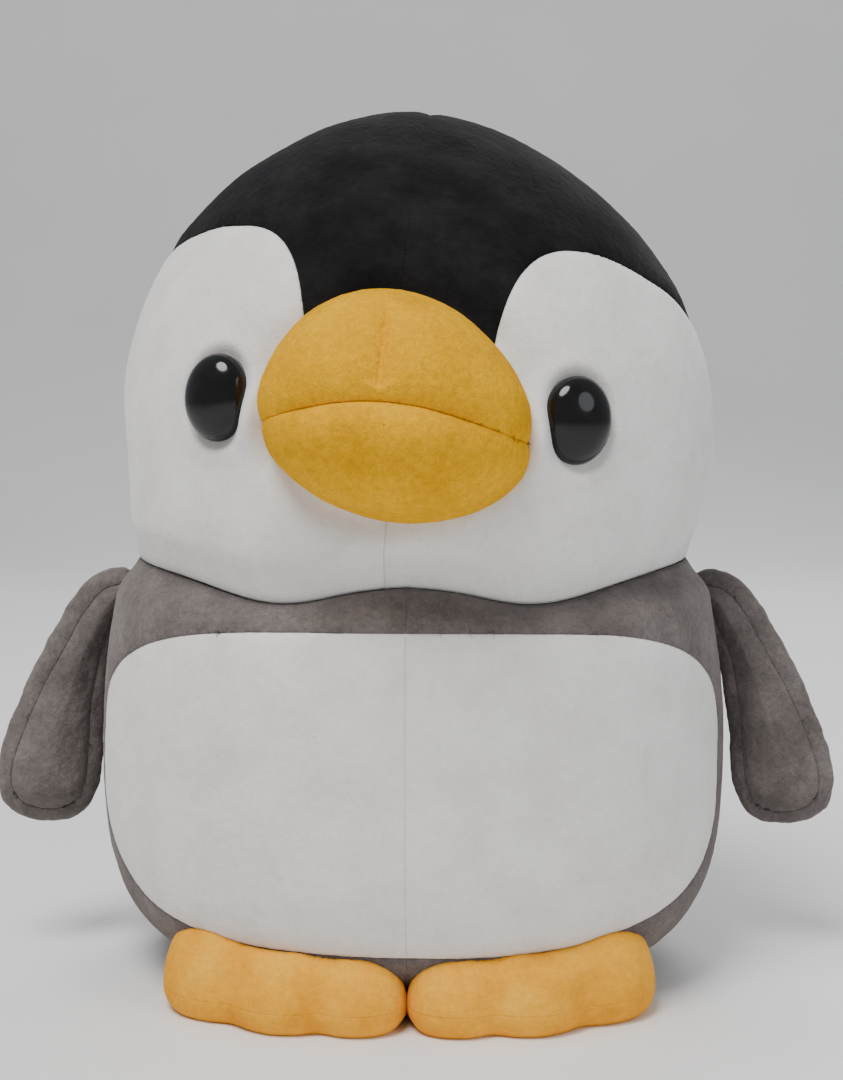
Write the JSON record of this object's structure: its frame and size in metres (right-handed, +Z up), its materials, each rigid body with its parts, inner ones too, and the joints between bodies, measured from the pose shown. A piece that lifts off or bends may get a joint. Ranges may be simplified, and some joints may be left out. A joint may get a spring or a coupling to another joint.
{
  "type": "plush penguin",
  "caption": "Standing stuffed toy penguin of sewn pile fabric with a big round head, wide beak, domed eyes, soft wings and flat feet.",
  "frame": {"origin": "centre of the flat base panel, on the surface that the toy sits on", "axes": "+Z up, the face looks towards -Y, the toy's own left side is +X"},
  "size_m": [0.3092, 0.253, 0.3],
  "materials": {
    "black_pile": "short dense plush pile, black",
    "white_pile": "short dense plush pile, warm white",
    "grey_pile": "short dense plush pile, warm grey",
    "golden_pile": "short dense plush pile, golden yellow",
    "orange_pile": "short dense plush pile, light orange",
    "eye_plastic": "polished black plastic",
    "washer_plastic": "moulded natural plastic",
    "filling": "white polyester fibre",
    "label_satin": "woven white satin, blank"
  },
  "bodies": {
    "torso": {"cap_left": "black_pile", "cap_right": "black_pile", "face_left": "white_pile", "face_right": "white_pile", "belly_left": "white_pile", "belly_right": "white_pile", "body_front_left": "grey_pile", "body_front_right": "grey_pile", "body_back_left": "grey_pile", "body_back_right": "grey_pile", "base_panel": "grey_pile", "beak_upper": "golden_pile", "beak_lower": "golden_pile", "eye_left": "eye_plastic", "eye_right": "eye_plastic", "eye_washer_left": "washer_plastic", "eye_washer_right": "washer_plastic", "core_stuffing": "filling", "beak_stuffing": "filling", "care_label": "label_satin"},
    "wing_left": {"wing_outer_left": "grey_pile", "wing_inner_left": "grey_pile", "wing_stuffing_left": "filling"},
    "wing_right": {"wing_outer_right": "grey_pile", "wing_inner_right": "grey_pile", "wing_stuffing_right": "filling"},
    "foot_left": {"foot_top_left": "orange_pile", "foot_sole_left": "orange_pile", "foot_stuffing_left": "filling"},
    "foot_right": {"foot_top_right": "orange_pile", "foot_sole_right": "orange_pile", "foot_stuffing_right": "filling"},
    "tail": {"tail_top": "grey_pile", "tail_bottom": "grey_pile", "tail_stuffing": "filling"}
  },
  "joints": [
    {"name": "wing_left_flap", "type": "hinge", "parent": "torso", "child": "wing_left", "pos_m": [0.119, 0.006, 0.131], "axis": [0, -1, 0], "range_deg": [-2, 80], "stiffness_Nm_per_rad": 0.02},
    {"name": "wing_right_flap", "type": "hinge", "parent": "torso", "child": "wing_right", "pos_m": [-0.119, 0.006, 0.131], "axis": [0, 1, 0], "range_deg": [-2, 80], "stiffness_Nm_per_rad": 0.02},
    {"name": "foot_left_tilt", "type": "hinge", "parent": "torso", "child": "foot_left", "pos_m": [0.038, -0.066, 0.0015], "axis": [-1, 0, 0], "range_deg": [-25, 6], "stiffness_Nm_per_rad": 0.02},
    {"name": "foot_right_tilt", "type": "hinge", "parent": "torso", "child": "foot_right", "pos_m": [-0.038, -0.066, 0.0015], "axis": [-1, 0, 0], "range_deg": [-25, 6], "stiffness_Nm_per_rad": 0.02},
    {"name": "tail_lift", "type": "hinge", "parent": "torso", "child": "tail", "pos_m": [0, 0.093, 0.032], "axis": [1, 0, 0], "range_deg": [-10, 30], "stiffness_Nm_per_rad": 0.01}
  ]
}
